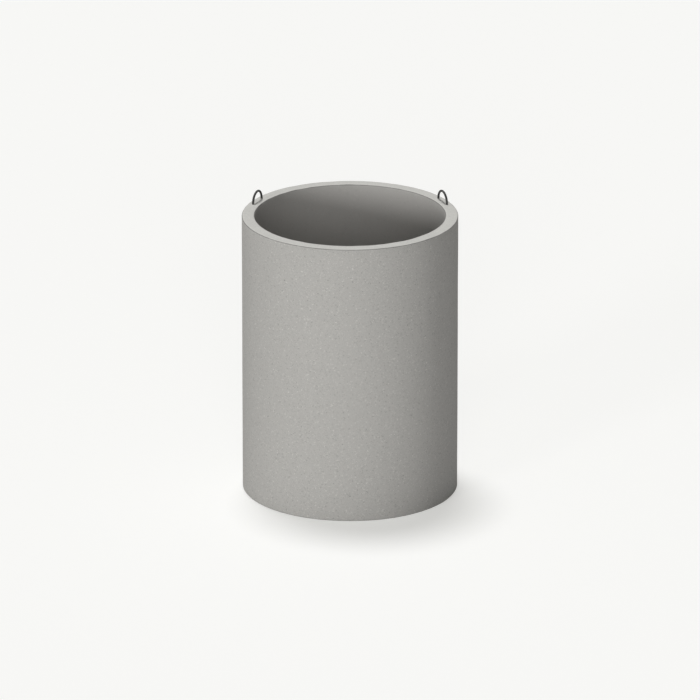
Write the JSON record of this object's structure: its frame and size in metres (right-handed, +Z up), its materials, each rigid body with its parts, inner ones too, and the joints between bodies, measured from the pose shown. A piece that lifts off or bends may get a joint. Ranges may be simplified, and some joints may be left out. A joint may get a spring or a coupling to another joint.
{
  "type": "concrete manhole ring",
  "caption": "Plain-ended reinforced concrete cylinder standing on end, open through, a wall ring for a manhole or well shaft, with half-round steel lifting loops cast into its top rim.",
  "frame": {"origin": "centre of the ring's bottom end, on the axis of the bore", "axes": "+Z up along the bore from the bottom end to the top rim; +X the ring's right and +Y its back, so that the lifting loops stand on the +Y half, mirrored about the YZ plane"},
  "size_m": [1.36, 1.36, 1.877],
  "materials": {
    "concrete": "matte",
    "loop_steel": "matte"
  },
  "bodies": {
    "root": {"ring_wall": "concrete", "lifting_loop_left": "loop_steel", "lifting_loop_right": "loop_steel"}
  },
  "joints": []
}
